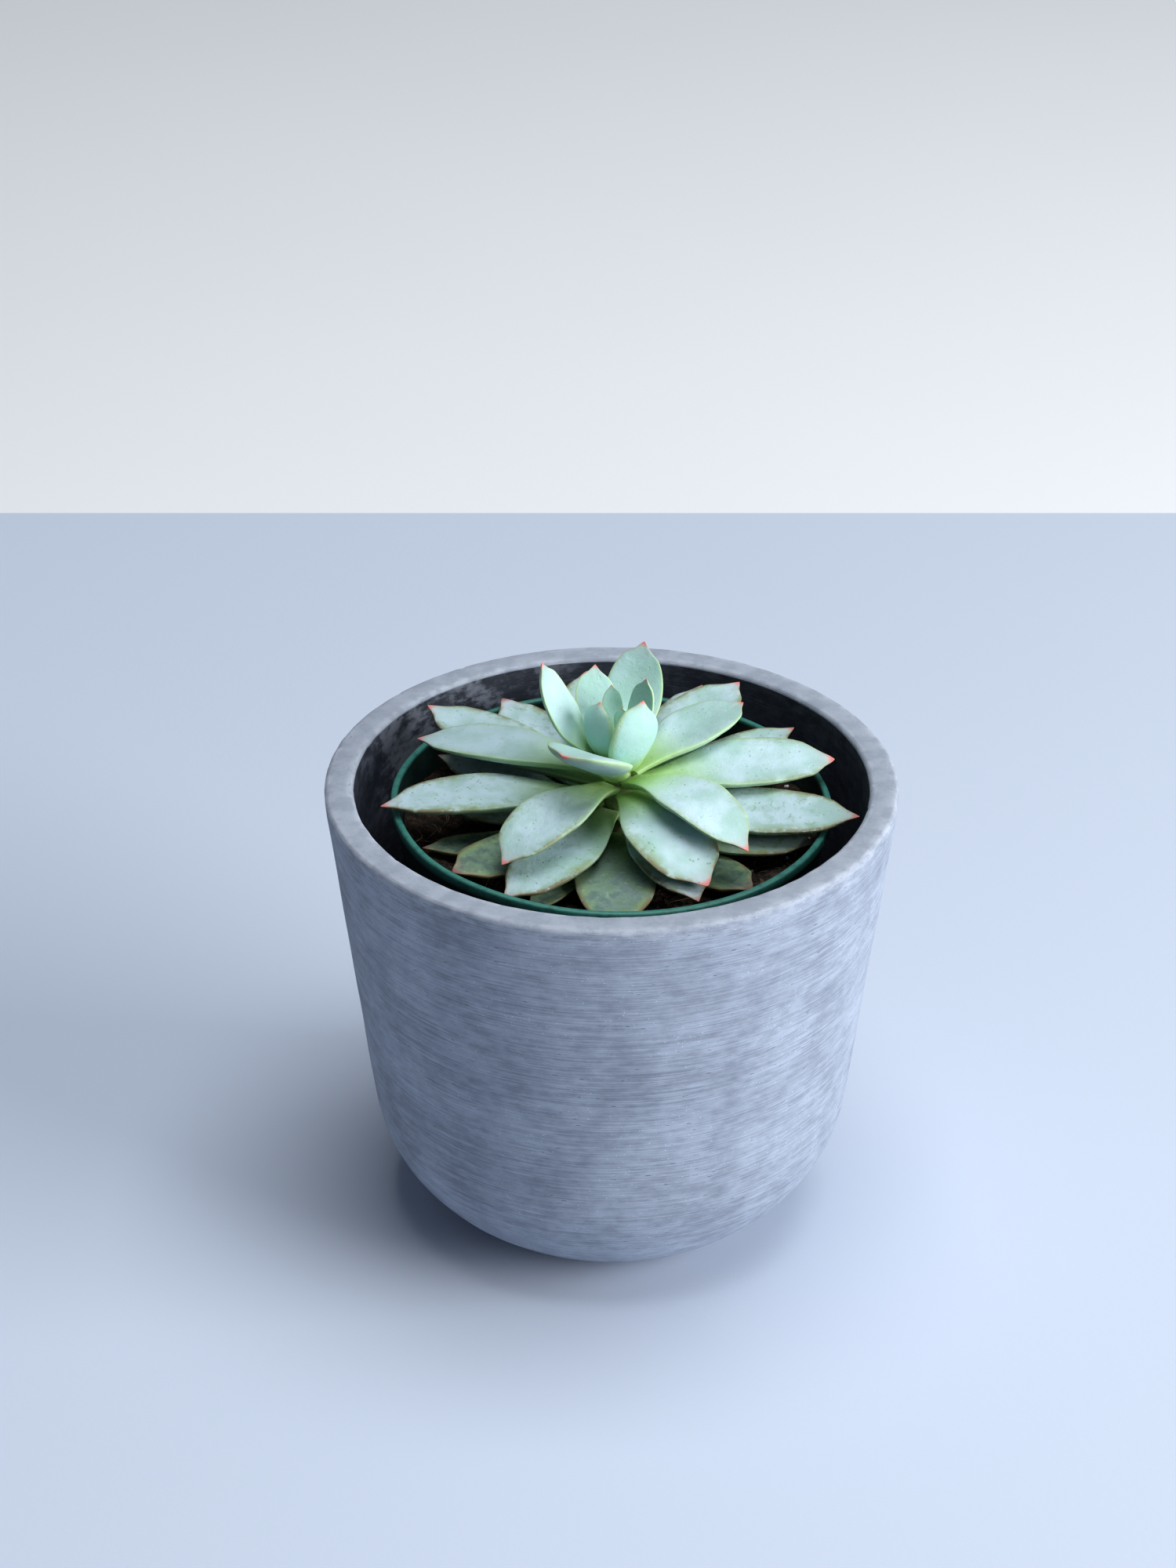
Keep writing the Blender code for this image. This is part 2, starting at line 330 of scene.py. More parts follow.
def leaf_finish():
    """Powdery bloom over green flesh: lime foot, pale margin, red tip, stains with age, and painted shade on
    old leaves.
    """
    f = Finish("leaf_bloom")
    place = f.place()
    along = f.attribute("along")
    across = f.attribute("across")
    age = f.attribute("age")
    under = f.attribute("under")
    broad = f.cloud(place, 0.09, 2)
    patch = f.cloud(place, 0.35, 4, 0.6)
    powder = f.cloud(place, 3.2, 4, 0.65)

    young = f.blend(rgb(0.26, 0.56, 0.34), rgb(0.34, 0.62, 0.44), patch)
    # Painted shade: the flesh of the older, lower leaves runs to a very dark green that stands in for the
    # shade they sit in.
    shaded_old_flesh = f.blend(rgb(0.030, 0.075, 0.038), rgb(0.15, 0.25, 0.15), patch.rise(0.35, 0.65))
    flesh = f.blend(young, shaded_old_flesh, age.rise(0.25, 0.8))
    bloom = f.blend(rgb(0.39, 0.59, 0.58), rgb(0.55, 0.73, 0.82), broad.rise(0.35, 0.62))
    heart = f.blend(rgb(0.33, 0.62, 0.53), rgb(0.46, 0.71, 0.69), patch)
    bloom = f.blend(heart, bloom, age.rise(0.08, 0.3))
    rubbed = (patch * 0.7 + broad * 0.3).rise(0.5, 0.64) * age.rise(0.2, 0.8)
    # The lowest leaves lose most of their bloom: partly real rubbing, partly painted shade.
    rubbed_and_shaded_low = age.rise(0.66, 0.82) * 0.80
    cover = (0.92 - rubbed * 0.5 - rubbed_and_shaded_low).most(0.06) * (0.5 + 0.5 * along.rise(0.05, 0.5))
    colour = f.blend(flesh, bloom, cover)

    lime = (1.0 - along.rise(0.04, 0.5)) * (1.0 - age.rise(0.45, 0.85) * 0.6)
    colour = f.blend(colour, rgb(0.38, 0.62, 0.12), lime * 0.8)
    freckle = f.cells(place, 0.7).rise(0.26, 0.12) * f.cloud(place, 0.22, 2).rise(0.48, 0.6)
    colour = f.blend(colour, rgb(0.14, 0.30, 0.14), freckle * 0.55 * age.rise(0.15, 0.5))
    ring_cell = f.cells(place, 0.16)
    ring = ring_cell.rise(0.2, 0.25) * ring_cell.rise(0.31, 0.26) * patch.rise(0.5, 0.6)
    colour = f.blend(colour, rgb(0.20, 0.36, 0.22), ring * 0.6 * age.rise(0.2, 0.6))
    scuff = f.cloud(f.stretched(place, 0.5, 0.5, 1.4), 0.7, 5, 0.7).rise(0.58, 0.7)
    colour = f.blend(colour, rgb(0.60, 0.72, 0.72), scuff * 0.35)

    pale_edge = across.rise(0.86, 0.97) * (1.0 - age.rise(0.2, 0.7) * 0.8)
    colour = f.blend(colour, rgb(0.46, 0.68, 0.34), pale_edge * 0.7)
    weathered = age.rise(0.22, 0.5)
    moss = across.rise(0.5, 0.93) * along.rise(0.2, 0.7) * weathered
    colour = f.blend(colour, rgb(0.24, 0.36, 0.14), moss * (0.3 + 0.7 * patch.rise(0.38, 0.58)) * 0.75)
    stain = across.rise(0.80, 0.98) * along.rise(0.4, 0.85) * weathered * patch.rise(0.3, 0.5)
    colour = f.blend(colour, rgb(0.17, 0.09, 0.05), stain * 0.85)
    blush = along.rise(0.86, 0.99) * (0.3 + 0.7 * across)
    colour = f.blend(colour, rgb(0.42, 0.25, 0.20), blush * 0.5)
    tip_colour = f.blend(rgb(0.80, 0.17, 0.14), rgb(0.26, 0.10, 0.08), age.rise(0.4, 0.75))
    colour = f.blend(colour, tip_colour, along.rise(0.95, 0.99) * 0.85)
    # Painted shade: the undersides of the older leaves are darkened towards deep green.
    colour = f.blend(colour, rgb(0.12, 0.24, 0.11), under * 0.45 * age.rise(0.1, 0.5))
    colour = f.blend(colour, rgb(0.8, 0.9, 0.92), powder.rise(0.6, 0.75) * 0.12)

    relief = f.bump(patch, 0.25)
    relief = f.bump(powder, 0.07, relief)
    relief = f.bump(1.0 - freckle, 0.08, relief)
    roughness = 0.58 - rubbed * 0.18 + powder * 0.12
    return f.surface(
        colour,
        roughness,
        relief,
        Specular_IOR_Level=0.35,
        Subsurface_Weight=0.12,
        Subsurface_Radius=(0.6, 1.0, 0.35),
        Subsurface_Scale=0.0025,
    )


def stone_finish():
    """Sanded blue-grey stone: fine level streaks, cloudy mottling and nicks, painted glints, with a worn pale
    rim.
    """
    f = Finish("sanded_stone")
    place = f.place()
    rim = f.attribute("rim")
    inside = f.attribute("inside")
    wear = f.attribute("wear")
    cloud = f.cloud(place, 0.055, 4, 0.6)
    mottle = f.cloud(f.stretched(place, 0.7, 0.7, 1.6), 0.28, 5, 0.65)
    streak = f.cloud(f.stretched(place, 0.035, 0.035, 2.2), 1.0, 2, 0.6)
    fine_streak = f.cloud(f.stretched(place, 0.07, 0.07, 6.5), 1.0, 2, 0.6)
    grit = f.cloud(place, 4.5, 2, 0.7)

    tone = cloud * 0.3 + mottle * 0.3 + streak * 0.25 + fine_streak * 0.15
    colour = f.blend(rgb(0.20, 0.235, 0.31), rgb(0.415, 0.48, 0.60), tone.rise(0.36, 0.64))
    colour = f.blend(colour, rgb(0.50, 0.57, 0.70), fine_streak.rise(0.56, 0.72) * 0.4)
    colour = f.blend(colour, rgb(0.19, 0.225, 0.30), fine_streak.rise(0.44, 0.3) * 0.4)
    colour = f.blend(colour, rgb(0.10, 0.115, 0.15), grit.rise(0.34, 0.24) * 0.5)
    nick_cell = f.cells(f.stretched(place, 0.16, 0.16, 1.1), 1.0)
    nick = nick_cell.rise(0.14, 0.07) * mottle.rise(0.5, 0.6)
    colour = f.blend(colour, rgb(0.07, 0.08, 0.11), nick * 0.7)
    # Painted glints: scattered pale flecks in the colour stand in for sparkles of reflected light.
    glint_cell = f.cells(place, 0.75)
    glint = glint_cell.rise(0.13, 0.06) * cloud.rise(0.45, 0.55)
    colour = f.blend(colour, rgb(0.78, 0.82, 0.92), glint * 0.8)

    top = f.blend(rgb(0.30, 0.345, 0.425), rgb(0.37, 0.42, 0.51), mottle.rise(0.35, 0.65))
    top = f.blend(top, rgb(0.28, 0.31, 0.37), grit.rise(0.36, 0.26) * 0.5)
    colour = f.blend(colour, top, rim)
    colour = f.blend(colour, rgb(0.46, 0.51, 0.60), wear * mottle.rise(0.42, 0.6) * 0.5)

    deep = f.blend(rgb(0.014, 0.020, 0.034), rgb(0.036, 0.046, 0.072), mottle.rise(0.35, 0.7))
    # Pale dust clings high on the inner wall, mostly at the back left.
    height = f.part(place, "Z")
    left_back = (f.part(place, "Y") - f.part(place, "X") * 0.9).rise(64.0, 84.0)
    dust = (f.cloud(place, 0.09, 5, 0.65) * 0.6 + mottle * 0.4).rise(0.46, 0.58)
    dust = dust * (left_back * 0.45 + 0.04) * height.rise(88.0, 106.0)
    deep = f.blend(deep, rgb(0.30, 0.34, 0.42), dust)
    colour = f.blend(colour, deep, inside)

    relief = f.bump(tone, 0.22)
    relief = f.bump(fine_streak * 0.6 + grit * 0.4, 0.14, relief)
    relief = f.bump(1.0 - nick, 0.2, relief)
    roughness = 0.74 - fine_streak.rise(0.5, 0.75) * 0.14 - glint * 0.3 + rim * 0.06
    return f.surface(colour, roughness, relief, Specular_IOR_Level=0.4)


def plastic_finish():
    """Thin dark green plastic with a painted highlight on its lip, dusted with soil."""
    f = Finish("green_plastic")
    place = f.place()
    lip = f.attribute("lip")
    grime = f.cloud(place, 0.5, 5, 0.65)
    scratch = f.cloud(f.stretched(place, 0.3, 0.3, 3.0), 1.0, 3, 0.6)
    colour = f.blend(rgb(0.003, 0.018, 0.016), rgb(0.007, 0.034, 0.029), scratch.rise(0.35, 0.7))
    # Painted highlight: the lip takes a much paler teal than the wall, standing in for light on the rim.
    colour = f.blend(colour, rgb(0.035, 0.20, 0.165), lip * (0.55 + 0.45 * grime.rise(0.3, 0.55)))
    colour = f.blend(colour, rgb(0.05, 0.035, 0.02), grime.rise(0.56, 0.68) * (0.7 - lip * 0.45))
    relief = f.bump(scratch * 0.5 + grime * 0.5, 0.1)
    return f.surface(colour, 0.34 + grime * 0.3, relief, Specular_IOR_Level=0.5)


def soil_finish():
    """Damp dark peat: crumbs with painted shade between them, hollows and paler dry patches."""
    f = Finish("dark_peat")
    place = f.place()
    crumb = f.cells(place, 0.62)
    clump = f.cloud(place, 0.3, 5, 0.7)
    dust = f.cloud(place, 2.4, 4, 0.7)
    colour = f.blend(rgb(0.012, 0.008, 0.006), rgb(0.075, 0.050, 0.034), clump.rise(0.36, 0.66))
    colour = f.blend(colour, rgb(0.13, 0.095, 0.065), dust.rise(0.56, 0.7) * 0.7)
    # Painted shade: near-black in the gaps between crumbs, where the relief is lowest.
    colour = f.blend(colour, rgb(0.006, 0.004, 0.004), crumb.rise(0.45, 0.75) * 0.6)
    relief = f.bump(clump, 1.2)
    relief = f.bump(1.0 - crumb, 0.7, relief)
    relief = f.bump(dust, 0.35, relief)
    return f.surface(colour, 0.9 + dust * 0.08, relief, Specular_IOR_Level=0.2)


def litter_finish(name, dark, pale, scale, relief_depth, roughness):
    """A dry scrap in the soil, mottled between two tones."""
    f = Finish(name)
    place = f.place()
    mottle = f.cloud(place, scale, 5, 0.7)
    grain = f.cloud(f.stretched(place, 1.0, 1.0, 4.0), scale * 1.6, 3, 0.6)
    colour = f.blend(dark, pale, (mottle * 0.6 + grain * 0.4).rise(0.35, 0.65))
    relief = f.bump(mottle * 0.5 + grain * 0.5, relief_depth)
    return f.surface(colour, roughness, relief, Specular_IOR_Level=0.3)


def stem_finish():
    """Pale green stem with brown corky rings."""
    f = Finish("stem_skin_green")
    place = f.place()
    cork = f.cloud(f.stretched(place, 0.5, 0.5, 2.2), 0.8, 5, 0.65)
    speck = f.cloud(place, 3.0, 3, 0.6)
    low = f.part(place, "Z").rise(116.0, 104.0)
    colour = f.blend(rgb(0.30, 0.42, 0.14), rgb(0.46, 0.56, 0.24), speck)
    colour = f.blend(colour, rgb(0.15, 0.09, 0.05), (cork.rise(0.48, 0.66) * 0.7).most(low * 0.85))
    relief = f.bump(cork, 0.5)
    relief = f.bump(speck, 0.1, relief)
    return f.surface(colour, 0.62 + speck * 0.15, relief, Specular_IOR_Level=0.35)


def stage_finish(name, colour, roughness):
    """Plain pale painted board."""
    f = Finish(name)
    place = f.place()
    drift = f.cloud(place, 0.004, 2)
    paint = f.cloud(place, 0.6, 3, 0.6)
    soft = f.blend(colour, rgb(*(0.965 * part for part in colour[:3])), drift)
    return f.surface(soft, roughness, f.bump(paint, 0.03), Specular_IOR_Level=0.2)


# ---------------------------------------------------------------- meshes


def ease(x):
    x = min(max(x, 0.0), 1.0)
    return x * x * (3.0 - 2.0 * x)


def wobble(x, y, z, scale, seed=0.0):
    """Smooth noise from -1 to 1 at a point in millimetres."""
    return noise.noise(Vector((x * scale + seed, y * scale - seed, z * scale + 2.0 * seed)))


def face_out(mesh):
    shape = bmesh.new()
    shape.from_mesh(mesh)
    bmesh.ops.recalc_face_normals(shape, faces=shape.faces)
    shape.to_mesh(mesh)
    shape.free()


def piece(name, mesh, look, slot, *nodes):
    """Puts a finished mesh in the scene as a piece of the object, in place of the CAD nodes named."""
    mesh.materials.clear()
    mesh.materials.append(look)
    made = bpy.data.objects.new(name, mesh)
    bpy.context.scene.collection.objects.link(made)
    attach(made, BODY)
    if nodes:
        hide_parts(*nodes)


def closed_mesh(name, points, faces, marks, sharp):
    """A mesh in metres from points in millimetres, with one value per point for each mark."""
    mesh = bpy.data.meshes.new(name)
    mesh.from_pydata([(x * MM, y * MM, z * MM) for x, y, z in points], [], faces)
    face_out(mesh)
    for mark, values in marks.items():
        mesh.attributes.new(mark, "FLOAT", "POINT").data.foreach_set("value", values)
    for face in mesh.polygons:
        face.use_smooth = True
    mesh.set_sharp_from_angle(angle=math.radians(sharp))
    return mesh


def lathe(name, profile, steps, marks, shift, sharp):
    """Turns an (r, z) profile that starts and ends on the axis; shift moves each point a little."""
    points = []
    values = {mark: [] for mark in marks}
    rings = []
    for number, (radius, height) in enumerate(profile):
        count = 1 if radius == 0.0 else steps
        rings.append((len(points), count))
        for step in range(count):
            angle = 2 * math.pi * step / steps
            r, z = (radius, height) if count == 1 else shift(number, angle, radius, height)
            points.append((r * math.cos(angle), r * math.sin(angle), z))
            for mark, rule in marks.items():
                values[mark].append(rule(number, angle, radius, height))
    faces = []
    for (first, first_count), (second, second_count) in zip(rings, rings[1:]):
        for step in range(steps):
            after = (step + 1) % steps
            if first_count == 1:
                faces.append((first, second + step, second + after))
            elif second_count == 1:
                faces.append((first + step, second, first + after))
            else:
                faces.append((first + step, second + step, second + after, first + after))
    return closed_mesh(name, points, faces, values, sharp)


def arc(centre, radius, start, end, count):
    """Points on an arc in the profile plane, its angles in degrees from +X."""
    angles = [math.radians(start + (end - start) * i / (count - 1)) for i in range(count)]
    return [(centre[0] + radius * math.cos(a), centre[1] + radius * math.sin(a)) for a in angles]


def run(start, end, count):
    """Points between two others on a straight line, without its ends."""
    shares = [(i + 1) / (count + 1) for i in range(count)]
    return [(start[0] + (end[0] - start[0]) * s, start[1] + (end[1] - start[1]) * s) for s in shares]


def planter_mesh():
    slope = math.degrees(math.atan(TAPER))
    inner_radius = ARC_RADIUS - WALL
    base_angle = -math.degrees(math.asin(ARC_CENTRE[1] / ARC_RADIUS))
    inside = arc(ARC_CENTRE, inner_radius, -90, -slope, HOLLOW_POINTS)
    outside = arc(ARC_CENTRE, ARC_RADIUS, -slope, base_angle, BELLY_POINTS)
    inner_edge = (RIM_RADIUS - WALL + RIM_ROUNDING, RIM_HEIGHT - RIM_ROUNDING)
    outer_edge = (RIM_RADIUS - RIM_ROUNDING, RIM_HEIGHT - RIM_ROUNDING)
    inner_arc = arc(inner_edge, RIM_ROUNDING, 180, 90, EDGE_POINTS)
    outer_arc = arc(outer_edge, RIM_ROUNDING, 90, 0, EDGE_POINTS)
    inner_wall = run(inside[-1], inner_arc[0], INNER_WALL_POINTS)
    flat_top = run(inner_arc[-1], outer_arc[0], FLAT_POINTS)
    outer_wall = run(outer_arc[-1], outside[0], OUTER_WALL_POINTS)
    foot = run(outside[-1], (0.0, 0.0), FLAT_POINTS)
    profile = [(0.0, ARC_CENTRE[1] - inner_radius), *inside, *inner_wall, *inner_arc]
    inner_end = len(profile) - 1
    profile += [*flat_top, *outer_arc]
    outer_end = len(profile) - 1
    profile += [*outer_wall, *outside, *foot, (0.0, 0.0)]
    inner_start = inner_end - EDGE_POINTS + 1
    outer_start = outer_end - EDGE_POINTS + 1

    def on_rim(number):
        return inner_end - PALE_INNER_STEPS <= number <= outer_end - GREY_OUTER_STEPS

    def worn(number):
        return inner_start <= number <= inner_end or outer_start <= number <= outer_end

    def hollowed(number, angle, radius, height):
        """Chips the two edges of the rim and sands the walls by hand, mostly inside the true shape."""
        if height < FLAT_BELOW:
            return radius, height
        x, y = radius * math.cos(angle), radius * math.sin(angle)
        sanded = SANDED_DEPTH * (wobble(x, y, height, 0.06) - 0.5)
        bite = 0.0
        if worn(number):
            bite = max(0.0, wobble(x, y, 0.0, 0.55, 7.0) - CHIP_FROM) * CHIP_DEPTH * 2.0
            bite += EDGE_WEAR * (wobble(x, y, 0.0, 0.22, 3.0) + 1.0)
        if number > inner_end:
            return radius + sanded - bite, height - bite * 0.7
        return radius - sanded * 0.5 + bite, height - bite * 0.7

    marks = {
        "rim": lambda number, *_: 1.0 if on_rim(number) else 0.0,
        "inside": lambda number, *_: 1.0 if number <= inner_start else 0.0,
        "wear": lambda number, *_: 1.0 if worn(number) else 0.0,
    }
    return lathe("stone_planter", profile, PLANTER_STEPS, marks, hollowed, 60)


def pot_radius(height):
    """Outer radius of the nursery pot at a height above the planter's base."""
    down = (POT_RIM_HEIGHT - height) / POT_HEIGHT
    return POT_RIM_RADIUS - POT_LIP + (POT_FOOT_RADIUS - POT_RIM_RADIUS + POT_LIP) * down


def tilt_pot(mesh):
    """Turns a mesh about Y through the nursery pot's rim centre, left side up."""
    pivot = Matrix.Translation((0.0, 0.0, POT_RIM_HEIGHT * MM))
    turn = Matrix.Rotation(math.radians(POT_TILT), 4, "Y")
    mesh.transform(pivot @ turn @ pivot.inverted())


def pot_mesh():
    foot = POT_RIM_HEIGHT - POT_HEIGHT
    floor = foot + POT_FLOOR
    lip_base = POT_RIM_HEIGHT - POT_LIP_DEPTH
    shoulder = POT_RIM_HEIGHT - POT_SHOULDER
    edge_height = POT_RIM_HEIGHT - POT_ROUNDING
    inner_lip = POT_RIM_RADIUS - POT_LIP - POT_WALL
    corner = (pot_radius(floor) - POT_WALL - POT_CORNER, floor + POT_CORNER)
    inner = arc(corner, POT_CORNER, -90, -8, POT_ARC_POINTS)
    neck = (pot_radius(lip_base) - POT_WALL, lip_base)
    edge = arc((inner_lip + POT_ROUNDING, edge_height), POT_ROUNDING, 180, 90, POT_EDGE_POINTS)
    edge += arc((POT_RIM_RADIUS - POT_ROUNDING, edge_height), POT_ROUNDING, 90, 0, POT_EDGE_POINTS)
    bead = [(POT_RIM_RADIUS, lip_base + POT_LIP), (pot_radius(lip_base), lip_base)]
    heel_centre = (pot_radius(foot + POT_HEEL) - POT_HEEL, foot + POT_HEEL)
    heel = arc(heel_centre, POT_HEEL, 0, -90, POT_ARC_POINTS)
    profile = [(0.0, floor), *inner, *run(inner[-1], neck, POT_INNER_POINTS), neck]
    lip_first = len(profile)
    profile.append((inner_lip, shoulder))
    profile += edge
    lip_last = len(profile)
    profile += [(POT_RIM_RADIUS, shoulder), *bead]
    profile += [*run(bead[-1], heel[0], POT_OUTER_POINTS), *heel, (0.0, foot)]

    def buckled(number, angle, radius, height):
        """The thin rim is a little out of round and out of level."""
        share = ease((height - BUCKLE_FROM) / BUCKLE_OVER)
        x, y = BUCKLE_RADIUS * math.cos(angle), BUCKLE_RADIUS * math.sin(angle)
        lift = BUCKLE_LIFT * (wobble(x, y, 0.0, 0.035, 5.0) - 0.6)
        pinch = share * BUCKLE_DEPTH * (wobble(x, y, 0.0, 0.05, 2.0) + 1.0)
        return radius - pinch, height + share * lift

    marks = {"lip": lambda number, *_: 1.0 if lip_first < number <= lip_last else 0.0}
    mesh = lathe("green_nursery_pot", profile, POT_STEPS, marks, buckled, 50)
    tilt_pot(mesh)
    return mesh


def soil_height(radius):
    for (r_low, low), (r_high, high) in zip(SOIL_SURFACE, SOIL_SURFACE[1:]):
        if r_low <= radius <= r_high:
            return low + (high - low) * ease((radius - r_low) / (r_high - r_low))
    return SOIL_EDGE_HEIGHT


def soil_mesh():
    side = POT_WALL + SOIL_GAP + BUCKLE_ROOM
    edge = pot_radius(SOIL_EDGE_HEIGHT) - side
    floor = POT_RIM_HEIGHT - POT_HEIGHT + POT_FLOOR + SOIL_GAP
    reaches = [edge * ring / SOIL_RINGS for ring in range(SOIL_RINGS + 1)]
    top = [(reach, soil_height(reach)) for reach in reaches]
    heel = (pot_radius(floor + SOIL_HEEL) - side, floor + SOIL_HEEL)
    foot = [(pot_radius(floor) - side - SOIL_HEEL, floor), (0.0, floor)]
    profile = [*top, *run(top[-1], heel, SOIL_SIDE_POINTS), heel, *foot]

    def crumbled(number, angle, radius, height):
        """Lumps and crumbs over the dip, and a heap against the pot's wall."""
        if number > SOIL_RINGS:
            return radius, height
        x, y = radius * math.cos(angle), radius * math.sin(angle)
        lumps = 0.9 * wobble(x, y, 0.0, 0.11, 11.0) + 0.55 * wobble(x, y, 0.0, 0.34, 4.0)
        crumbs = 0.42 * wobble(x, y, 0.0, 1.1, 9.0) + 0.2 * wobble(x, y, 0.0, 2.6, 1.0)
        heap = 1.3 * ease((radius - 44.0) / 6.0) * (wobble(x, y, 0.0, 0.09, 21.0) + 0.2)
        return radius, min(height + lumps + crumbs + heap - SOIL_SINK, SOIL_EDGE_HEIGHT + SOIL_HEAP_ROOM)

    marks = {"open_soil": lambda number, *_: 1.0 if number < SOIL_RINGS else 0.0}
    mesh = lathe("peat_soil", profile, SOIL_STEPS, marks, crumbled, 70)
    tilt_pot(mesh)
    return mesh


def stem_mesh():
    foot = STEM_PROFILE[-1]
    profile = [(0.0, STEM_TOP)]
    for upper, lower in zip(STEM_PROFILE, STEM_PROFILE[1:]):
        profile += [upper, *run(upper, lower, STEM_RUN_POINTS)]
    profile += [foot, (0.0, foot[1])]

    def scarred(number, angle, radius, height):
        """Leaf scars climb the stem in a spiral and pinch it between them."""
        turn = angle + height * 1.9
        scar = 0.22 * math.cos(5.0 * turn) * math.cos(height * 2.1)
        rough = 0.16 * wobble(radius * math.cos(angle), radius * math.sin(angle), height, 0.7, 3.0)
        return radius - 0.35 + (scar + rough) * ease((STEM_TOP - height) / SCAR_FADE), height

    mesh = lathe("scarred_stem", profile, STEM_STEPS, {}, scarred, 50)
    mesh.transform(Matrix.Translation((STEM_X * MM, 0.0, 0.0)))
    return mesh


def stem_radius(height):
    """Radius of the stem at a height above the planter's base; its top carries on straight up."""
    if height >= STEM_TOP:
        return STEM_PROFILE[0][0]
    for (r_high, high), (r_low, low) in zip(STEM_PROFILE, STEM_PROFILE[1:]):
        if low <= height <= high:
            return r_low + (r_high - r_low) * (height - low) / (high - low)
    return STEM_PROFILE[-1][0]


def blade_share(leaf, t):
    """Share of the leaf's full width at t, from 0 at its foot to 1 at its short hollow-sided tip."""
    rise = leaf.neck + (1.0 - leaf.neck) * ease(t / LEAF_FULL_AT)
    hollow = 1.0 - 0.34 * ease((t - 0.86) / 0.1)
    return rise * (1.0 - t**7) ** leaf.point * hollow


def directions(leaf):
    """Outward and sideways directions of the leaf, seen from above."""
    azimuth = math.radians(leaf.azimuth)
    out = Vector((math.cos(azimuth), math.sin(azimuth), 0.0))
    return out, Vector((-math.sin(azimuth), math.cos(azimuth), 0.0))


def spine_point(leaf, t):
    """Where the leaf's middle line runs at t."""
    out, side = directions(leaf)
    foot = Vector((STEM_X, 0.0, leaf.foot)) + out * (stem_radius(leaf.foot) + LEAF_FOOT_GAP)
    tip = Vector((STEM_X, 0.0, leaf.tip)) + out * leaf.reach
    chord = tip - foot
    up = chord.normalized().cross(side)
    bow = 4.0 * t * (1.0 - t)
    return foot + chord * t + up * (leaf.arch * bow) + side * (leaf.sweep * bow)


def spine_frame(leaf, t):
    """Centre, sideways and upward directions of the leaf at t."""
    step = 0.001
    along = spine_point(leaf, min(t + step, 1.0)) - spine_point(leaf, max(t - step, 0.0))
    along.normalize()
    side = directions(leaf)[1]
    side = (side - along * side.dot(along)).normalized()
    side = Matrix.Rotation(math.radians(leaf.roll) * ease(t / 0.5), 3, along) @ side
    return spine_point(leaf, t), side, along.cross(side)


def section_rise(lift, depth):
    """Height of a section's skin over its margins: shallow above, and a deep keel below."""
    if lift >= 0.0:
        return UPPER_SHARE * depth * lift**1.1 - 0.05 * depth * lift**6
    return -LOWER_SHARE * depth * (0.88 * abs(lift) ** 0.9 + 0.12 * abs(lift) ** 5)


def leaf_mesh(name, leaf, number):
    """A fleshy leaf lofted through lens-shaped sections with sharp margins, keeled and channelled."""
    thickness = 1.4 + 0.16 * leaf.width
    cup = 0.2 - 0.007 * leaf.width
    widest = max(blade_share(leaf, i / 200) for i in range(200))
    age = (number - 1) / (len(LEAVES) - 1)
    points = []
    marks = {"along": [], "across": [], "age": [], "under": []}

    def mark(t, across, under):
        for key, value in zip(marks, (t, abs(across), age, under)):
            marks[key].append(value)

    for station in range(LEAF_STATIONS):
        t = 1.0 - (1.0 - station / LEAF_STATIONS) ** 1.5
        centre, side, up = spine_frame(leaf, t)
        half = leaf.width / 2 * blade_share(leaf, t) / widest
        depth = thickness * (0.72 + 0.28 * ease(t / 0.45)) * (1.0 - t**5) ** 0.8
        for k in range(LEAF_SECTION_POINTS):
            angle = 2 * math.pi * k / LEAF_SECTION_POINTS
            across, lift = math.cos(angle), math.sin(angle)
            rise = section_rise(lift, depth) + cup * half * across * across
            edge = 1.0 + 0.03 * wobble(t * 6.0, across * 2.0, 0.0, 1.0, number * 1.7)
            spot = centre + side * (half * across * edge) + up * rise
            swell = 0.22 * wobble(*spot, 0.13, number * 0.9) + 0.07 * wobble(*spot, 0.5, number * 0.4)
            spot += up * (swell * min(1.0, depth / thickness + 0.1))
            points.append(tuple(spot))
            mark(t, across, 0.0 if lift > -0.1 else 1.0)
    faces = []
    for station in range(LEAF_STATIONS - 1):
        first, second = station * LEAF_SECTION_POINTS, (station + 1) * LEAF_SECTION_POINTS
        for k in range(LEAF_SECTION_POINTS):
            after = (k + 1) % LEAF_SECTION_POINTS
            faces.append((first + k, first + after, second + after, second + k))
    foot, tip = len(points), len(points) + 1
    points.append(tuple(spine_point(leaf, 0.0)))
    mark(0.0, 0.0, 1.0)
    points.append(tuple(spine_point(leaf, 1.0)))
    mark(1.0, 0.0, 0.0)
    last = (LEAF_STATIONS - 1) * LEAF_SECTION_POINTS
    for k in range(LEAF_SECTION_POINTS):
        after = (k + 1) % LEAF_SECTION_POINTS
        faces.append((foot, after, k))
        faces.append((last + k, last + after, tip))
    return closed_mesh(name, points, faces, marks, 75)


# ---------------------------------------------------------------- litter on the soil


FIBRE_SIDES = 4
FIBRE_JOINTS = 7


def scrap_mesh(name, size, seed, subdivisions=1):
    """A small broken lump, size giving its length, breadth and thickness in millimetres."""
    shape = bmesh.new()
    bmesh.ops.create_icosphere(shape, subdivisions=subdivisions, radius=0.5)
    chance = random.Random(seed)
    for corner in shape.verts:
        corner.co *= chance.uniform(0.75, 1.1)
        corner.co = Vector(part * length * MM for part, length in zip(corner.co, size))
    bmesh.ops.recalc_face_normals(shape, faces=shape.faces)
    mesh = bpy.data.meshes.new(name)
    shape.to_mesh(mesh)
    shape.free()
    return mesh


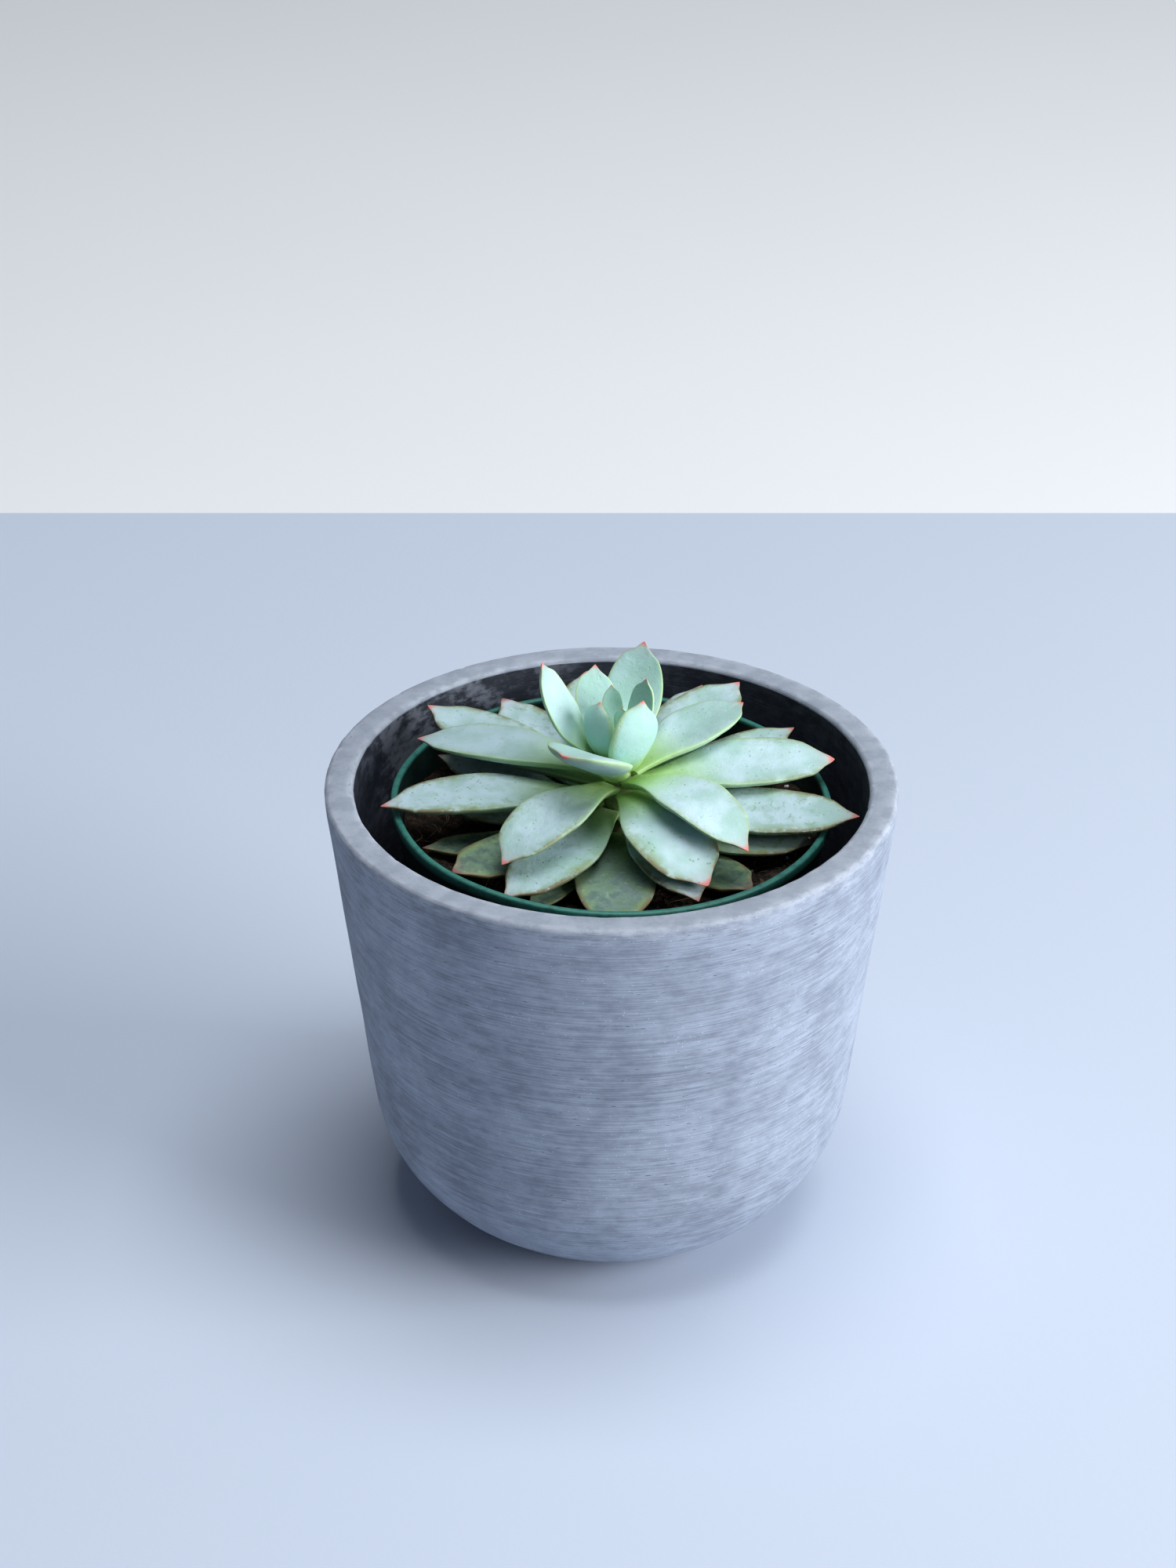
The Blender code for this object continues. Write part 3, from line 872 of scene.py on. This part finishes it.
def fibre_mesh(name, length, radius, bend):
    """A thin bent root fibre that lies along X, in millimetres."""
    sides, joints = FIBRE_SIDES, FIBRE_JOINTS
    points = []
    for joint in range(joints):
        s = joint / (joints - 1)
        x = (s - 0.5) * length
        y = bend * math.sin(math.pi * s * 1.4)
        z = bend * 0.25 * math.sin(math.pi * s)
        thin = radius * (1.0 - 0.6 * s)
        for k in range(sides):
            angle = 2 * math.pi * k / sides
            points.append((x, y + thin * math.cos(angle), z + thin * math.sin(angle)))
    faces = [tuple(range(sides)), tuple(range((joints - 1) * sides, joints * sides))]
    for joint in range(joints - 1):
        for k in range(sides):
            after = (k + 1) % sides
            a, b = joint * sides, (joint + 1) * sides
            faces.append((a + k, a + after, b + after, b + k))
    return closed_mesh(name, points, faces, {}, 60)


def scatter_tree():
    """Strews copies of one scrap over the open soil, each turned and sized at random."""
    tree = bpy.data.node_groups.new("Strew litter", "GeometryNodeTree")
    face = tree.interface
    kinds = [
        ("Soil", "NodeSocketGeometry"),
        ("Scrap", "NodeSocketObject"),
        ("Per square metre", "NodeSocketFloat"),
        ("Smallest", "NodeSocketFloat"),
        ("Largest", "NodeSocketFloat"),
        ("Tilt", "NodeSocketFloat"),
        ("Seed", "NodeSocketInt"),
        ("Finish", "NodeSocketMaterial"),
    ]
    for name, kind in kinds:
        face.new_socket(name=name, in_out="INPUT", socket_type=kind)
    face.new_socket(name="Litter", in_out="OUTPUT", socket_type="NodeSocketGeometry")
    wires = Wiring(tree)
    asked = tree.nodes.new("NodeGroupInput")

    def given(name):
        return Signal(wires, asked.outputs[name])

    open_soil = wires.node("GeometryNodeInputNamedAttribute", {"data_type": "FLOAT"}, {"Name": "open_soil"})
    selection = wires.node("FunctionNodeCompare", {"operation": "GREATER_THAN"}, {0: open_soil, 1: 0.5})
    values = {
        "Mesh": given("Soil"),
        "Selection": selection,
        "Density": given("Per square metre"),
        "Seed": given("Seed"),
    }
    spots = wires.node("GeometryNodeDistributePointsOnFaces", {}, values)
    tilt = given("Tilt")
    negative = wires.node("ShaderNodeMath", {"operation": "MULTIPLY"}, {0: tilt, 1: -1.0})
    low = wires.node("ShaderNodeCombineXYZ", {}, {"X": negative, "Y": negative, "Z": 0.0})
    high = wires.node("ShaderNodeCombineXYZ", {}, {"X": tilt, "Y": tilt, "Z": 2 * math.pi})
    # A Random Value node takes vector limits at 0 and 1, number limits at 2 and 3, and its seed at 8.
    angles = {0: low, 1: high, 8: given("Seed")}
    turn = wires.node("FunctionNodeRandomValue", {"data_type": "FLOAT_VECTOR"}, angles)
    limits = {2: given("Smallest"), 3: given("Largest"), 8: given("Seed")}
    size = wires.node("FunctionNodeRandomValue", {"data_type": "FLOAT"}, limits, 1)
    scrap = wires.node("GeometryNodeObjectInfo", {}, {"Object": given("Scrap")}, "Geometry")
    values = {"Points": spots, "Instance": scrap, "Rotation": turn, "Scale": size}
    strewn = wires.node("GeometryNodeInstanceOnPoints", {}, values)
    solid = wires.node("GeometryNodeRealizeInstances", {}, {"Geometry": strewn})
    coated = wires.node("GeometryNodeSetMaterial", {}, {"Geometry": solid, "Material": given("Finish")})
    wires.node("NodeGroupOutput", {}, {0: coated})
    return tree


def strewn_mesh(tree, name, soil, scrap, look, **inputs):
    """The litter that the tree makes on the soil, as a plain mesh."""
    host = bpy.data.objects.new(name + "_bed", soil.copy())
    shape = bpy.data.objects.new(name + "_shape", scrap)
    for helper in (host, shape):
        bpy.context.scene.collection.objects.link(helper)
    strew = host.modifiers.new("Strew litter", "NODES")
    strew.node_group = tree
    inputs = {"Scrap": shape, "Finish": look, **inputs}
    for item in tree.interface.items_tree:
        if item.in_out == "INPUT" and item.name in inputs:
            strew[item.identifier] = inputs[item.name]
    graph = bpy.context.evaluated_depsgraph_get()
    mesh = bpy.data.meshes.new_from_object(host.evaluated_get(graph))
    mesh.name = name
    for helper in (host, shape):
        bpy.data.objects.remove(helper)
    return mesh


def strew_litter(soil):
    """Bark chips, crumbs, root fibres and perlite."""
    tree = scatter_tree()
    bark = litter_finish("bark_scrap", rgb(0.020, 0.012, 0.008), rgb(0.12, 0.075, 0.045), 0.9, 0.3, 0.85)
    crumb = litter_finish("peat_crumb", rgb(0.010, 0.007, 0.005), rgb(0.06, 0.040, 0.028), 1.4, 0.3, 0.95)
    fibre = litter_finish("root_fibre", rgb(0.10, 0.065, 0.038), rgb(0.30, 0.21, 0.13), 1.2, 0.1, 0.8)
    pearl = litter_finish("perlite", rgb(0.50, 0.49, 0.46), rgb(0.80, 0.79, 0.75), 1.5, 0.3, 0.9)
    chip = scrap_mesh("chip_shape", (5.2, 2.4, 1.1), 3)
    grain = scrap_mesh("crumb_shape", (1.5, 1.3, 1.1), 5)
    root = fibre_mesh("fibre_shape", 13.0, 0.17, 2.2)
    bead = scrap_mesh("perlite_shape", (1.9, 1.6, 1.4), 8, 2)
    sorts = [
        ("bark_chips", chip, bark, 9000.0, 0.35, 0.95, 0.45, 4),
        ("peat_crumbs", grain, crumb, 90000.0, 0.35, 1.1, 3.0, 9),
        ("root_fibres", root, fibre, 11000.0, 0.3, 0.9, 0.16, 12),
        ("perlite_grains", bead, pearl, 2600.0, 0.35, 0.85, 3.0, 21),
    ]
    for name, shape, look, density, smallest, largest, tilt, seed in sorts:
        inputs = {
            "Per square metre": density,
            "Smallest": smallest,
            "Largest": largest,
            "Tilt": tilt,
            "Seed": seed,
        }
        piece(name, strewn_mesh(tree, name, soil, shape, look, **inputs), look, "soil_peat")


# ---------------------------------------------------------------- the object


def build_object():
    stone = stone_finish()
    piece("stone_planter", planter_mesh(), stone, "planter_stone", "planter")
    piece("green_nursery_pot", pot_mesh(), plastic_finish(), "pot_plastic", "nursery_pot")
    soil = soil_mesh()
    piece("peat_soil", soil, soil_finish(), "soil_peat", "soil")
    strew_litter(soil)
    piece("scarred_stem", stem_mesh(), stem_finish(), "stem_skin", "stem")
    bloom = leaf_finish()
    for number, leaf in enumerate(LEAVES, start=1):
        name = f"fleshy_leaf_{number:02d}"
        piece(name, leaf_mesh(name, leaf, number), bloom, "leaf_skin", f"leaf_{number:02d}")


# ---------------------------------------------------------------- stage, light and camera

FAR_BOARD_FROM = 0.407
FLOOR_FRONT = -3.0
FLOOR_BACK = 4.0
FLOOR_HALF_WIDTH = 3.5
ROOM_COLOUR = rgb(0.78, 0.86, 1.0)
ROOM_STRENGTH = 0.10
CAMERA_PLACE = (-0.0058, -0.7367, 0.543)
CAMERA_PITCH = 60.1
CAMERA_LENS = 79.0
SENSOR_WIDTH = 36.0


def board(name, front, back, look):
    """A flat board across the whole stage, from one y to another."""
    side = FLOOR_HALF_WIDTH
    corners = [(-side, front, 0), (side, front, 0), (side, back, 0), (-side, back, 0)]
    mesh = bpy.data.meshes.new(name)
    mesh.from_pydata(corners, [], [(0, 1, 2, 3)])
    mesh.materials.append(look)
    for face in mesh.polygons:
        face.use_smooth = True
    made = bpy.data.objects.new(name, mesh)
    bpy.context.scene.collection.objects.link(made)


def build_stage():
    """A pale floor, with a still paler board laid flat behind the object."""
    floor_look = stage_finish("pale_floor", rgb(0.60, 0.68, 0.82), 0.6)
    far_look = stage_finish("paler_board", rgb(0.90, 0.93, 0.97), 0.8)
    board("pale_floor", FLOOR_FRONT, FAR_BOARD_FROM, floor_look)
    board("paler_board", FAR_BOARD_FROM, FLOOR_BACK, far_look)


def soft_light(name, place, target, size, watts, colour):
    lamp = bpy.data.lights.new(name, "AREA")
    lamp.shape = "SQUARE"
    lamp.size = size
    lamp.energy = watts
    lamp.color = colour
    made = bpy.data.objects.new(name, lamp)
    made.location = place
    made.rotation_euler = (Vector(target) - Vector(place)).to_track_quat("-Z", "Y").to_euler()
    bpy.context.scene.collection.objects.link(made)


def build_light():
    soft_light(
        "window_right",
        place=(1.44, -0.53, 0.54),
        target=(0.0, 0.0, 0.06),
        size=1.05,
        watts=34.0,
        colour=(1.0, 0.99, 0.97),
    )
    soft_light(
        "ceiling",
        place=(0.3, 0.0, 2.4),
        target=(0.0, 0.0, 0.0),
        size=1.5,
        watts=40.0,
        colour=(0.96, 0.98, 1.0),
    )
    world = bpy.data.worlds.new("soft_room")
    world.use_nodes = True
    room = world.node_tree.nodes["Background"]
    room.inputs["Color"].default_value = ROOM_COLOUR
    room.inputs["Strength"].default_value = ROOM_STRENGTH
    bpy.context.scene.world = world
    bpy.context.scene.view_settings.view_transform = "Standard"


def build_camera():
    view = bpy.data.cameras.new("front_view")
    view.lens = CAMERA_LENS
    view.sensor_width = SENSOR_WIDTH
    made = bpy.data.objects.new("front_view", view)
    made.location = CAMERA_PLACE
    made.rotation_euler = (math.radians(CAMERA_PITCH), 0.0, 0.0)
    bpy.context.scene.collection.objects.link(made)
    bpy.context.scene.camera = made


build_object()
build_stage()
build_light()
build_camera()
bpy.context.view_layer.update()
